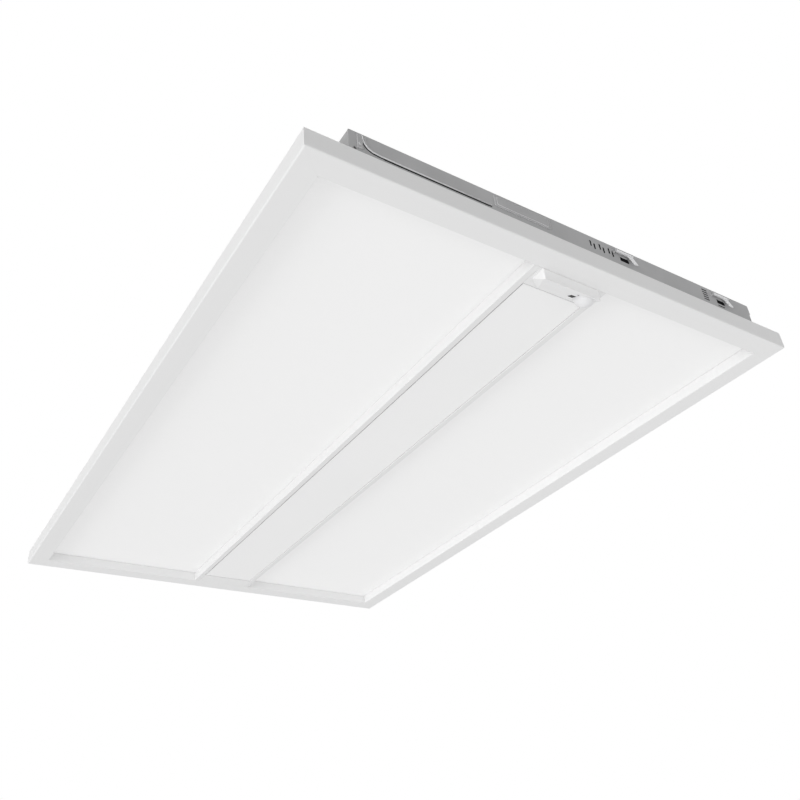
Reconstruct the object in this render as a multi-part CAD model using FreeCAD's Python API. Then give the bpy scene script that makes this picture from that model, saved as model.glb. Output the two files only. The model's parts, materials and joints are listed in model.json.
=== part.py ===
import FreeCAD, Part
import math
import os

os.makedirs("parts", exist_ok=True)

V = FreeCAD.Vector

# driving dimensions, mm. X across, Y along (sensor end at -Y), Z up into the ceiling, face at z = 0
width = 603.0
length = 908.0
sheet = 1.2            # frame sheet thickness
frameHeight = 22.0     # outer flange
sideRim = 25.0
endRim = 23.7
lensDepth = 13.4       # face to underside of lens
lipWidth = 8.0         # lens ledge, turned away from the opening
flangeReturn = 9.0     # top return of the outer flange
bendRadius = 1.6

spineWidth = 93.0
spineRail = 7.2
spineInnerWall = 9.0
spineEndLength = 26.0

lensThickness = 3.0
lensOverlap = 6.6

housingTop = 46.0
housingHalf = 259.0
housingSheet = 1.0
housingInset = 2.0     # end wall set in from the frame's end flange
flangeEdge = 4.5       # resting flange set in from the frame's outer face
beadHalf = 4.6
beadRise = 2.0
beadOffsets = (-185.0, -95.0, 95.0, 185.0)

clipInsets = (199.5, 52.0)   # clip centres in from the housing's right corner
clipWidth = 24.0
clipPinZ = 38.4
clipOut = 2.4          # pin axis out from the end wall
clipPinRadius = 0.8
clipBore = 0.85
clipBarrel = 1.5
clipTilt = 12.0        # how far the clip is folded out as built
clipDrop = 5.4
clipSheet = 1.0
clipTail = 12.6
clipTailWidth = 4.6
earWidth = 1.6

coverRecess = 0.8
coverSheet = 1.0
coverLip = 5.0
coverPinInset = 2.9     # pin axis in from the left spine rail
coverPinLift = 2.0      # and up from the cover's face
coverPinRadius = 0.8
coverBore = 0.85
coverBarrel = 1.5
coverKnuckle = 22.0
coverEndGap = 0.8
coverSideGap = 1.4
coverFreeGap = 0.4      # along its free edge

podHalf = 36.0
podDepth = 13.4
podThin = 0.8
podWall = 1.6
podLength = 24.6
podCut = (12.0, 7.8)    # rear left corner cut back, across and along
domeRadius = 10.2
domeRise = 8.2
domeBands = 5
domeSides = 24
domeX = 25.2
domeAlong = 12.9
windowSize = 6.2
windowX = 11.6
windowAlong = 15.6
dotRadius = 0.9
dotX = 12.6
dotAlong = 7.4

trayWall = 1.0
trayBottom = 9.4
trayEndGap = 4.3        # tray end plate to the cover's hinge plate
driverSize = (34.0, 360.0, 25.0)
driverY = 60.0

ledBoardAt = (0.28, 0.71)  # board centres as a share of the lens width
ledBoardWidth = 18.0
ledBoardInset = 20.0
ledBoardThick = 1.4
ledCount = 18
ledChip = 3.2
ledChipHeight = 0.8

screwRadius = 3.4
screwHeight = 1.6
screwSides = 12

hangerHole = 2.6
hangerInsetX = 13.5
hangerInsetY = 24.0

knockoutRadius = 11.0
knockoutGap = 0.5
knockoutSides = 32
knockoutInset = 74.0
knockoutSpacing = 44.0

linerThick = 0.6
fixingShare = (0.264, 0.793)  # screw places as a share of the half length
clipShare = (-0.66, 0.0, 0.66)

accessWidth = 68.0
accessInset = 153.0     # left edge in from the housing's left corner

# derived sizes
halfWidth = width / 2
halfLength = length / 2
openLeft = halfWidth - sideRim
openEnd = halfLength - endRim
spineHalf = spineWidth / 2
spineInner = spineHalf - spineRail
wallY = halfLength - housingInset
hangerX = halfWidth - hangerInsetX
hangerY = halfLength - hangerInsetY
knockoutY = -(halfLength - knockoutInset)
coverPinX = -spineInner + coverPinInset
coverPinZ = coverRecess + coverPinLift
trayLength = 2 * (openEnd - spineEndLength - trayEndGap)
ledBoardLength = 2 * (openEnd - ledBoardInset)
clipCentres = [housingHalf - inset for inset in clipInsets]
accessLeft = -housingHalf + accessInset
accessRight = accessLeft + accessWidth
coverNear = -(openEnd - spineEndLength) + coverEndGap
coverFar = openEnd - spineEndLength - coverEndGap
podNear = -openEnd
podSlope = math.atan2(podDepth - podThin, podLength)


def save(shape, name):
    shape.exportStep("parts/" + name + ".step")


def group(solids):
    return Part.makeCompound(solids)


def box(x0, x1, y0, y1, z0, z1):
    return Part.makeBox(x1 - x0, y1 - y0, z1 - z0, V(x0, y0, z0))


def rod(radius, start, end):
    a = V(*start)
    d = V(*end) - a
    return Part.makeCylinder(radius, d.Length, a, d)


def outline(points, radii):
    # closed flat wire through the points, each corner rounded by its own radius
    n = len(points)
    pts = [V(*p) for p in points]
    starts = []
    ends = []
    arcs = []
    for i in range(n):
        p = pts[i]
        r = radii[i]
        a = (pts[i - 1] - p).normalize()
        b = (pts[(i + 1) % n] - p).normalize()
        if r <= 0:
            starts.append(p)
            ends.append(p)
            arcs.append(None)
            continue
        half = a.getAngle(b) / 2
        cut = r / math.tan(half)
        mid = (a + b).normalize()
        centre = p + mid * (r / math.sin(half))
        s = p + a * cut
        e = p + b * cut
        starts.append(s)
        ends.append(e)
        arcs.append(Part.Arc(s, centre - mid * r, e).toShape())
    edges = []
    for i in range(n):
        if arcs[i] is not None:
            edges.append(arcs[i])
        nxt = starts[(i + 1) % n]
        if (nxt - ends[i]).Length > 1e-6:
            edges.append(Part.makeLine(ends[i], nxt))
    return Part.Wire(edges)


def solidAlong(points, radii, direction):
    return Part.Face(outline(points, radii)).extrude(V(*direction))


def rimSection(depth):
    # folded rail section as (across, up), across measured inward from the outer edge
    r = bendRadius
    t = sheet
    lipEnd = depth - lipWidth
    pts = [
        (0, 0), (depth, 0), (depth, lensDepth), (lipEnd, lensDepth),
        (lipEnd, lensDepth - t), (depth - t, lensDepth - t), (depth - t, t), (t, t),
        (t, frameHeight - t), (flangeReturn, frameHeight - t),
        (flangeReturn, frameHeight), (0, frameHeight)]
    radii = [r, 0.5, 0.9, 0, 0, 0, 0, 0, 0, 0, 0, r]
    return pts, radii


def mitre(solid, axisY):
    # keep the part of the rail between the two 45 degree corner cuts
    h = 60.0
    if axisY:
        reach = halfLength
        side = halfWidth
        inner = side - reach
        pts = [(inner, 0), (side, reach), (side, -reach)]
    else:
        reach = halfWidth
        side = halfLength
        pts = [(0, side - reach), (reach, side), (-reach, side)]
    wire = [V(p[0], p[1], -h) for p in pts]
    wire.append(wire[0])
    wedge = Part.Face(Part.makePolygon(wire)).extrude(V(0, 0, 2 * h))
    return solid.common(wedge)


def sideRail(sign):
    pts, radii = rimSection(sideRim)
    profile = [(halfWidth - a, -halfLength, z) for a, z in pts]
    rail = solidAlong(profile, radii, (0, length, 0))
    rail = mitre(rail, True)
    if sign < 0:
        rail = rail.mirror(V(0, 0, 0), V(1, 0, 0))
    return rail


def endRail(sign):
    pts, radii = rimSection(endRim)
    profile = [(-halfWidth, halfLength - a, z) for a, z in pts]
    rail = solidAlong(profile, radii, (width, 0, 0))
    rail = mitre(rail, False)
    if sign < 0:
        rail = rail.mirror(V(0, 0, 0), V(0, 1, 0))
    return rail


def cornerKey(sx, sy):
    # flat angle seated on the face sheet inside each mitred corner
    t = sheet
    arm = 58.0
    wide = 12.0
    x = halfWidth - t - 1.0
    y = halfLength - t - 1.0
    pts = [(x, y), (x - arm, y), (x - arm, y - wide), (x - wide, y - wide), (x - wide, y - arm), (x, y - arm)]
    pts = [(sx * p[0], sy * p[1], t) for p in pts]
    return solidAlong(pts, [0] * 6, (0, 0, 2.0))


def spineRailPart(sign):
    t = sheet
    o = spineHalf
    i = spineInner
    z = lensDepth
    pts = [
        (o, 0), (o, z), (o - lipWidth + 2.6, z), (o - lipWidth + 2.6, z - t), (o - t, z - t),
        (o - t, t), (i + t, t), (i + t, spineInnerWall), (i, spineInnerWall), (i, 0)]
    radii = [0.6, 0.9, 0, 0, 0, 0, 0, 0, 0, 0.6]
    profile = [(sign * p[0], -openEnd, p[1]) for p in pts]
    return solidAlong(profile, radii, (0, 2 * openEnd, 0))


def spineEnd(sign):
    # face level plate between the two spine rails, with a leg that carries the cover's hinge pin
    t = sheet
    near = openEnd
    far = openEnd - spineEndLength
    pts = [(0, near, 0), (0, far, 0), (0, far, spineInnerWall), (0, far + t, spineInnerWall), (0, far + t, t), (0, near, t)]
    pts = [(-spineInner, p[1] * sign, p[2]) for p in pts]
    plate = solidAlong(pts, [0, 0.6, 0, 0, 0, 0], (2 * spineInner, 0, 0))
    y0 = sign * (far - 2)
    y1 = sign * (far + t + 2)
    plate = plate.cut(rod(coverPinRadius, (coverPinX, y0, coverPinZ), (coverPinX, y1, coverPinZ)))
    if sign < 0:
        # wire way up from the sensor
        plate = plate.cut(rod(5.0, (-18, -openEnd + 12, -1), (-18, -openEnd + 12, 3)))
    return plate


def coverPins():
    leg = openEnd - spineEndLength
    out = []
    for s in (-1, 1):
        a = (coverPinX, s * (leg + sheet + 0.4), coverPinZ)
        b = (coverPinX, s * (leg - coverEndGap - coverKnuckle * 0.7), coverPinZ)
        out.append(rod(coverPinRadius, a, b))
    return group(out)


def centreCover():
    # shallow tray that swings down on its left edge
    t = coverSheet
    left = -spineInner + coverSideGap
    right = spineInner - coverFreeGap
    z = coverRecess
    pts = [
        (left, z), (right, z), (right, z + coverLip), (right - t, z + coverLip), (right - t, z + t),
        (left + 4.0, z + t), (left, z + t)]
    profile = [(p[0], coverNear, p[1]) for p in pts]
    tray = solidAlong(profile, [0.4, 0.5, 0, 0, 0, 0, 0], (0, coverFar - coverNear, 0))
    for y in (coverNear, coverFar - coverKnuckle):
        barrel = rod(coverBarrel, (coverPinX, y, coverPinZ), (coverPinX, y + coverKnuckle, coverPinZ))
        leaf = box(left + 0.1, coverPinX + coverBarrel, y, y + coverKnuckle, z + t / 2, coverPinZ)
        tray = tray.fuse(barrel.fuse(leaf))
    for y in (coverNear, coverFar - coverKnuckle):
        tray = tray.cut(rod(coverBore, (coverPinX, y - 1, coverPinZ), (coverPinX, y + coverKnuckle + 1, coverPinZ)))
    # stiffening ribs pressed up across the back
    for k in range(5):
        y = coverNear + (coverFar - coverNear) * (k + 0.5) / 5
        section = [(left + 8, y - 2.6, z + t / 2), (left + 8, y + 2.6, z + t / 2), (left + 8, y + 1.2, z + 2.8), (left + 8, y - 1.2, z + 2.8)]
        rib = solidAlong(section, [0] * 4, (right - left - 14, 0, 0))
        tray = tray.fuse(rib)
    return tray.removeSplitter()


def coverCatches():
    # blocks on the right spine rail that stop the cover's lip
    out = []
    for share in clipShare:
        y = share * halfLength
        z0 = coverRecess + coverLip + 0.3
        pts = [(spineInner, y, z0), (spineInner - 5, y, z0), (spineInner - 5, y, z0 + 1.5), (spineInner, y, z0 + 1.5)]
        out.append(solidAlong(pts, [0, 0.4, 0.4, 0], (0, 12, 0)))
    return group(out)


def lensPanel(sign):
    x0 = spineHalf - lipWidth + 4.0
    x1 = openLeft + lensOverlap
    y = openEnd + lensOverlap
    r = 2.0
    pts = [(x0, -y), (x1, -y), (x1, y), (x0, y)]
    pts = [(sign * p[0], p[1], lensDepth) for p in pts]
    panel = solidAlong(pts, [r, r, r, r], (0, 0, lensThickness))
    return panel


def lensClips():
    # small spring clips that press each lens down on the frame's ledges
    out = []
    t = 0.8
    z = lensDepth + lensThickness
    for s in (-1, 1):
        for share in clipShare:
            y = share * halfLength
            x1 = halfWidth - sheet
            x0 = openLeft + 1.5
            pts = [
                (x1, z + 1.6 - t), (x0 + 5, z + 1.6 - t), (x0 + 2, z), (x0 - 1, z + 1.2),
                (x0 - 1, z + 1.2 + t), (x0 + 2, z + t), (x0 + 5, z + 1.6), (x1, z + 1.6)]
            pts = [(s * p[0], y, p[1]) for p in pts]
            out.append(solidAlong(pts, [0] * 8, (0, 14, 0)))
    return group(out)


def housingPan():
    # roof, side walls and resting flanges folded from one sheet, with swaged beads along the roof
    t = housingSheet
    h = housingHalf
    top = housingTop
    z = frameHeight
    f = halfWidth - flangeEdge
    half = [
        (h - t, z + 0.0), (f, z), (f, z + t), (h, z + t), (h, top), (-h, top), (-h, z + t),
        (-f, z + t), (-f, z), (-h + t, z), (-h + t, top - t), (h - t, top - t)]
    radii = [0, 0, 0, 0, 1.6, 1.6, 0, 0, 0, 0, 0, 0]
    y0 = -wallY + t
    profile = [(p[0], y0, p[1]) for p in half]
    pan = solidAlong(profile, radii, (0, -2 * y0, 0))
    for x in beadOffsets:
        crest = beadBar(x, 0, top - t / 2)
        hollow = beadBar(x, t, top - t - 1)
        pan = pan.fuse(crest).cut(hollow)
    for sx in (-1, 1):
        for sy in (-1, 1):
            pan = pan.cut(rod(hangerHole, (sx * hangerX, sy * hangerY, z - 1), (sx * hangerX, sy * hangerY, z + t + 1)))
    for x in knockoutX():
        pan = pan.cut(knockoutDisc(x, knockoutRadius + knockoutGap, top - t - 1, top + 1))
    # square relief at each bottom corner of the resting flange
    for sx in (-1, 1):
        for sy in (-1, 1):
            cx = sx * (f - 4)
            cy = sy * (wallY - t - 4)
            pan = pan.cut(box(min(cx, sx * f), max(cx, sx * f), min(cy, sy * wallY), max(cy, sy * wallY), z - 1, z + t + 1))
    return pan.removeSplitter()


def beadBar(x, inset, low):
    # long raised bar with sloping flanks and ends, or the hollow under it
    y1 = wallY - 60 - inset
    high = housingTop + beadRise - inset
    base = beadHalf - inset / 2
    flat = base - beadRise
    foot = [V(x - base, -y1, low), V(x + base, -y1, low), V(x + base, y1, low), V(x - base, y1, low)]
    y2 = y1 - beadRise
    crest = [V(x - flat, -y2, high), V(x + flat, -y2, high), V(x + flat, y2, high), V(x - flat, y2, high)]
    return flatSolid([foot, crest])


def knockoutX():
    return (-knockoutSpacing / 2, knockoutSpacing / 2)


def knockoutDisc(x, radius, low, high):
    return flatSolid([ringPoints(x, knockoutY, z, radius, knockoutSides) for z in (low, high)])


def knockouts():
    # punched discs still held in the roof by one small bridge each
    t = housingSheet
    top = housingTop
    out = []
    for x in knockoutX():
        disc = knockoutDisc(x, knockoutRadius, top - t, top)
        bridge = box(x - 1.5, x + 1.5, knockoutY + knockoutRadius - 1, knockoutY + knockoutRadius + knockoutGap, top - t, top)
        edge = knockoutDisc(x, knockoutRadius + knockoutGap, top - t, top)
        out.append(disc.fuse(bridge.common(edge)).removeSplitter())
    return group(out)


def wallFrame(sign):
    # places a shape drawn on the near end wall onto the wall at either end
    def place(shape):
        if sign < 0:
            return shape
        return shape.rotate(V(0, 0, 0), V(0, 0, 1), 180)
    return place


def endPlate(sign):
    t = housingSheet
    y = -wallY
    z0 = frameHeight
    z1 = housingTop
    h = housingHalf
    pts = [
        (-h, z0), (h - 4.0, z0), (h - 4.0, z0 + 4.5), (h - 1.6, z0 + 4.5), (h - 1.6, z0 + 12), (h, z0 + 12),
        (h, z1), (-h, z1)]
    pts = [(p[0], y, p[1]) for p in pts]
    wall = solidAlong(pts, [0, 0, 0, 0, 0, 0, 1.2, 1.2], (0, t, 0))
    foot = box(-h + 8, h - 8, y, y + 12, z0, z0 + t)
    wall = wall.fuse(foot)
    # raised stiffening bead that turns down into a long line above the frame
    left = -h
    path = [(left + 16, 43.2), (left + 18, 34.5), (left + 23, 29.6), (left + 31, 28.4), (accessLeft - 4, 28.0)]
    band = [(p[0] + 0.7, p[1] + 0.5) for p in path] + [(p[0] - 0.7, p[1] - 0.5) for p in reversed(path)]
    wall = wall.fuse(solidAlong([(p[0], y - 0.6, p[1]) for p in band], [0] * len(band), (0, 0.8, 0)))
    cuts = []
    # lanced slit under the bead
    cuts.append(box(left + 34, accessLeft - 7, y - 2, y + t + 1, 25.4, 27.0))
    # wiring hole behind the access plate
    cuts.append(box(accessLeft + 8, accessRight - 8, y - 2, y + t + 1, 31, 39))
    inner, outer = clipCentres
    # three pairs of short slots beside the inner clip
    for k in range(3):
        x = inner - 42.0 + 12.5 * k
        for dx in (-2.4, 2.4):
            cuts.append(box(x + dx - 1.1, x + dx + 1.1, y - 2, y + t + 1, 31.6 - dx * 0.5, 39.0 - dx * 0.5))
    # louvre block beside the outer clip
    for k in range(5):
        z = 27.6 + 3.2 * k
        cuts.append(box(outer - 27, outer - 18.5, y - 2, y + t + 1, z, z + 1.7))
    for x in clipCentres:
        cuts.append(box(x - 5.0, x + 7.5, y - 2, y + t + 1, 29.6, 35.0))
    cuts.append(box(outer - 5, outer + 6, y - 2, y + t + 1, 26.0, 27.6))
    cuts.append(rod(1.6, (left + 6, y - 2, 25.8), (left + 6, y + t + 1, 25.8)))
    wall = wall.cut(group(cuts))
    return wallFrame(sign)(wall.removeSplitter())


def accessPlate(sign):
    t = 0.8
    y = -wallY - t
    x0 = accessLeft
    x1 = accessRight
    pts = [(x0, y, 29.4), (x1, y, 29.4), (x1, y, 43.6), (x0, y, 43.6)]
    plate = solidAlong(pts, [1.5, 1.5, 1.5, 1.5], (0, t, 0))
    pts = [(x0 + 3, y - 0.5, 31.4), (x1 - 3, y - 0.5, 31.4), (x1 - 3, y - 0.5, 41.6), (x0 + 3, y - 0.5, 41.6)]
    rim = solidAlong(pts, [1.5, 1.5, 1.5, 1.5], (0, 0.6, 0))
    return wallFrame(sign)(plate.fuse(rim).removeSplitter())


def wallLiner(sign):
    # dark insulating sheet behind an end wall, seen through its slots
    y = -wallY + housingSheet
    x = housingHalf - 12.0
    z0 = frameHeight + housingSheet + 0.1
    z1 = housingTop - housingSheet - 0.2
    sheetPart = box(-x, x, y, y + linerThick, z0, z1)
    return wallFrame(sign)(sheetPart)


def cornerTabs():
    # riveted corner tab at the left of each end wall
    t = 1.0
    y = -wallY - t
    x0 = -housingHalf + 8.0
    x1 = x0 + 5.6
    pts = [(x0, y, 27.0), (x1, y, 27.0), (x1, y, 38.0), (x1 - 1.8, y, 43.6), (x0, y, 43.6)]
    tab = solidAlong(pts, [0] * 5, (0, t, 0))
    head = rod(1.5, (x0 + 2.8, y - 0.8, 32), (x0 + 2.8, y, 32))
    tab = tab.fuse(head).removeSplitter()
    return group([tab, wallFrame(1)(tab.copy())])


def clipAxisY():
    return -wallY - clipOut


def gridClip(sign, x):
    # folded tab: rolled barrel along the top, blade tilted out, tail hanging at its right end
    y = clipAxisY()
    z = clipPinZ
    hw = clipWidth / 2
    t = clipSheet
    low = z - clipDrop
    tail = z - clipTail
    x0 = x - hw
    x1 = x + hw
    w = clipTailWidth
    pts = [
        (x0, y - t / 2, z), (x0, y - t / 2, low + 3.4), (x1 - w - 3, y - t / 2, low + 3.4),
        (x1 - w + 1.5, y - t / 2, tail), (x1 + 1.5, y - t / 2, tail), (x1, y - t / 2, low + 2), (x1, y - t / 2, z)]
    blade = solidAlong(pts, [0, 1.5, 2.5, 0, 0, 3, 0], (0, t, 0))
    barrel = rod(clipBarrel, (x0, y, z), (x1, y, z))
    clip = blade.fuse(barrel)
    clip = clip.cut(rod(clipBore, (x0 - 1, y, z), (x1 + 1, y, z)))
    clip = clip.removeSplitter()
    # tilt out about the pin
    clip.rotate(V(x, y, z), V(1, 0, 0), -clipTilt)
    return wallFrame(sign)(clip)


def clipPins():
    out = []
    y = clipAxisY()
    reach = clipWidth / 2 + 0.4 + earWidth
    for s in (-1, 1):
        for x in clipCentres:
            pin = rod(clipPinRadius, (x - reach, y, clipPinZ), (x + reach, y, clipPinZ))
            out.append(wallFrame(s)(pin))
    return group(out)


def pinBore(x0, x1, y):
    # many-sided bore whose flats touch the pin
    sides = 12
    r = clipPinRadius / math.cos(math.pi / sides)
    rings = []
    for x in (x0, x1):
        turns = [2 * math.pi * (k + 0.5) / sides for k in range(sides)]
        rings.append([V(x, y + r * math.cos(turn), clipPinZ + r * math.sin(turn)) for turn in turns])
    return flatSolid(rings)


def clipEars():
    out = []
    y = clipAxisY()
    gap = clipWidth / 2 + 0.4
    for s in (-1, 1):
        for x in clipCentres:
            for side in (-1, 1):
                a = x + side * gap
                b = a + side * earWidth
                lo = min(a, b)
                pts = [
                    (lo, -wallY, clipPinZ - 2.6), (lo, -wallY, clipPinZ + 2.2),
                    (lo, y - 0.6, clipPinZ + 1.8), (lo, y - 1.7, clipPinZ + 0.8),
                    (lo, y - 1.7, clipPinZ - 0.8), (lo, y - 0.6, clipPinZ - 1.8)]
                ear = solidAlong(pts, [0] * 6, (earWidth, 0, 0))
                ear = ear.cut(pinBore(lo - 1, lo + earWidth + 1, y))
                out.append(wallFrame(s)(ear))
    return group(out)


def panScrews():
    # pan-head screws through the resting flanges
    out = []
    z = frameHeight + housingSheet
    for sx in (-1, 1):
        for share in fixingShare:
            for sy in (-1, 1):
                out.append(screw(sx * (halfWidth - 6.5), sy * share * halfLength, z, 1))
    return group(out)


def screw(x, y, z, up):
    # head with a straight lower half and a tapered crown, in many flats
    rings = []
    for share, high in ((1.0, 0), (1.0, 0.45), (0.72, 1.0)):
        rings.append(ringPoints(x, y, z + up * high * screwHeight, screwRadius * share, screwSides))
    return flatSolid(rings)


def gearTray():
    # inverted channel under the roof that holds the driver and closes the spine
    t = trayWall
    o = spineInner
    top = housingTop - housingSheet
    z = trayBottom
    pts = [(o, z), (o, top), (-o, top), (-o, z), (-o + t, z), (-o + t, top - t), (o - t, top - t), (o - t, z)]
    profile = [(p[0], -trayLength / 2, p[1]) for p in pts]
    return solidAlong(profile, [0, 1.2, 1.2, 0, 0, 0, 0, 0], (0, trayLength, 0))


def trayEnds():
    # plates that close the two ends of the channel
    out = []
    t = trayWall
    for s in (-1, 1):
        y = s * trayLength / 2
        y0 = min(y, y + s * t)
        out.append(box(-spineInner, spineInner, y0, y0 + t, spineInnerWall + 0.4, housingTop - housingSheet))
    return group(out)


def driverBox():
    w, d, h = driverSize
    top = housingTop - housingSheet - trayWall
    x = w / 2
    y0 = driverY - d / 2
    pts = [(-x, top - h), (x, top - h), (x, top), (-x, top)]
    profile = [(p[0], y0, p[1]) for p in pts]
    body = solidAlong(profile, [2, 2, 0.5, 0.5], (0, d, 0))
    for s in (-1, 1):
        y = driverY + s * d / 2
        y1 = y + s * 12
        ear = box(-9, 9, min(y, y1), max(y, y1), top - 1.4, top)
        body = body.fuse(ear)
    # cooling grooves along the case
    for k in range(5):
        gx = -10 + 5 * k
        body = body.cut(box(gx - 0.8, gx + 0.8, y0 + 14, y0 + d - 14, top - h - 1, top - h + 1.2))
    return body.removeSplitter()


def driverScrews():
    out = []
    top = housingTop - housingSheet - trayWall - 1.4
    for s in (-1, 1):
        y = driverY + s * (driverSize[1] / 2 + 6)
        out.append(screw(0, y, top, -1))
    return group(out)


def terminalBlock():
    top = housingTop - housingSheet - trayWall
    y0 = -250.0
    ways = 6
    pitch = 8.0
    body = box(-12, 12, y0, y0 + ways * pitch + 2, top - 12, top)
    for k in range(ways):
        y = y0 + 1 + pitch * (k + 0.5)
        body = body.cut(box(-2.2, 2.2, y - 2.2, y + 2.2, top - 13, top - 8))
        for x in (-12, 9):
            body = body.cut(box(x, x + 3, y - 2, y + 2, top - 6, top - 3))
    return body


def ledBoardX():
    span = openLeft - spineHalf
    out = []
    for sign in (-1, 1):
        for share in ledBoardAt:
            out.append(sign * (spineHalf + share * span))
    return sorted(out)


def ledBoards():
    top = housingTop - housingSheet
    out = []
    for x in ledBoardX():
        half = ledBoardWidth / 2
        y = ledBoardLength / 2
        out.append(box(x - half, x + half, -y, y, top - ledBoardThick, top))
    return out


def ledChips():
    top = housingTop - housingSheet - ledBoardThick
    out = []
    for x in ledBoardX():
        for k in range(ledCount):
            y = ledBoardLength * ((k + 0.5) / ledCount - 0.5)
            c = ledChip / 2
            out.append(box(x - c, x + c, y - c, y + c, top - ledChipHeight, top))
    return group(out)


def alongSlope(s):
    # point on the pod's sloped underside, s measured from its near lower edge along the slope
    y = podNear + s * math.cos(podSlope)
    z = -podDepth + s * math.sin(podSlope)
    return y, z


def slopeNormal():
    return V(0, math.sin(podSlope), -math.cos(podSlope))


def sensorPod():
    # hollow wedge under the near end of the spine
    y0 = podNear
    y1 = podNear + podLength
    pts = [(-podHalf, y0, 0), (-podHalf, y0, -podDepth), (-podHalf, y1, -podThin), (-podHalf, y1, 0)]
    pod = solidAlong(pts, [0, 0.5, 0.3, 0], (2 * podHalf, 0, 0))
    plan = [(-podHalf, y0, -20), (podHalf, y0, -20), (podHalf, y1 + 1, -20), (-podHalf, y1 + 1, -20)]
    pod = pod.common(solidAlong(plan, [1.0, 1.0, 0, 0], (0, 0, 30)))
    pod = pod.cut(podCorner(y0, y1))
    w = podWall
    c = math.cos(podSlope)
    zi = -podDepth + w / c + w * math.tan(podSlope)
    back = y0 + (podDepth - w / c) / math.tan(podSlope) - 0.6
    zb = -podDepth + w / c + (back - y0) * math.tan(podSlope)
    left = -podHalf + podCut[0] + w
    inner = [(left, y0 + w, 1), (left, y0 + w, zi), (left, back, zb), (left, back, 1)]
    pod = pod.cut(solidAlong(inner, [0, 0.6, 0, 0], (podHalf - w - left, 0, 0)))
    n = slopeNormal()
    y, z = alongSlope(domeAlong)
    pod = pod.cut(Part.makeCylinder(domeRadius, 8, V(domeX, y, z) + n * 4, n * -1))
    y, z = alongSlope(dotAlong)
    pod = pod.cut(Part.makeCylinder(dotRadius, 8, V(dotX, y, z) + n * 4, n * -1))
    pod = pod.cut(slopeBlock(windowX, windowAlong, windowSize / 2, -3.0, 3.0))
    return pod


def podCorner(y0, y1):
    # sloping cut from the near lower corner up to the two foot points of the rear left corner
    low = V(-podHalf, y0 + 0.8, -podDepth)
    side = V(-podHalf, y1 - podCut[1], 0)
    back = V(-podHalf + podCut[0], y1, 0)
    across = back - side
    rise = low - side
    normal = across.cross(rise).normalize()
    if normal.x > 0:
        normal = normal * -1
    blade = [side - across * 4 - rise, side + across * 6 - rise, side + across * 6 + rise * 4, side - across * 4 + rise * 4]
    blade.append(blade[0])
    return Part.Face(Part.makePolygon(blade)).extrude(normal * 60)


def slopeBlock(x, along, half, low, high):
    # square block standing square to the sloped underside
    y, z = alongSlope(along)
    blk = Part.makeBox(2 * half, 2 * half, high - low, V(-half, -half, low))
    blk.rotate(V(0, 0, 0), V(1, 0, 0), math.degrees(podSlope))
    blk.translate(V(x, y, z))
    return blk


def flatSolid(rings):
    # solid with flat faces through a stack of rings, each ring a list of the same number of points
    n = len(rings[0])
    loops = [rings[0], rings[-1]]
    for low, high in zip(rings, rings[1:]):
        for k in range(n):
            j = (k + 1) % n
            loops.append([low[k], low[j], high[j], high[k]])
    faces = [Part.Face(Part.makePolygon(loop + [loop[0]])) for loop in loops]
    return Part.makeSolid(Part.makeShell(faces))


def ringPoints(x, y, z, radius, sides):
    out = []
    for k in range(sides):
        turn = 2 * math.pi * (k + 0.5) / sides
        out.append(V(x + radius * math.cos(turn), y + radius * math.sin(turn), z))
    return out


def facetDome(radius, height):
    top = math.radians(80.0)
    rings = []
    for k in range(domeBands + 1):
        turn = top * k / domeBands
        high = height * math.sin(turn) / math.sin(top)
        rings.append(ringPoints(0, 0, high, radius * math.cos(turn), domeSides))
    return flatSolid(rings)


def sensorDome():
    # collar seated in the pod's hole and a domed lens of moulded flats, hollow behind
    r = domeRadius
    t = 0.9
    collar = rod(r, (0, 0, -podWall), (0, 0, 0))
    shell = collar.fuse(facetDome(r, domeRise)).cut(facetDome(r - t, domeRise - t))
    bore = flatSolid([ringPoints(0, 0, z, r - t, domeSides) for z in (-podWall - 1, 0)])
    shell = shell.cut(bore)
    shell.rotate(V(0, 0, 0), V(1, 0, 0), 180 + math.degrees(podSlope))
    y, z = alongSlope(domeAlong)
    shell.translate(V(domeX, y, z))
    return shell


def sensorWindow():
    return slopeBlock(windowX, windowAlong, windowSize / 2, -0.1, podWall)


def indicatorDot():
    n = slopeNormal()
    y, z = alongSlope(dotAlong)
    dot = Part.makeCylinder(dotRadius, podWall + 0.1, V(dotX, y, z) + n * 0.1, n * -1)
    return dot


def sensorBoard():
    y0 = podNear + podWall + 0.1
    board = box(-20, 31, y0, y0 + 11.5, -1.3, 0)
    can = rod(3.4, (domeX - 1, y0 + 7.0, -3.2), (domeX - 1, y0 + 7.0, -1.3))
    return board, can


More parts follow.
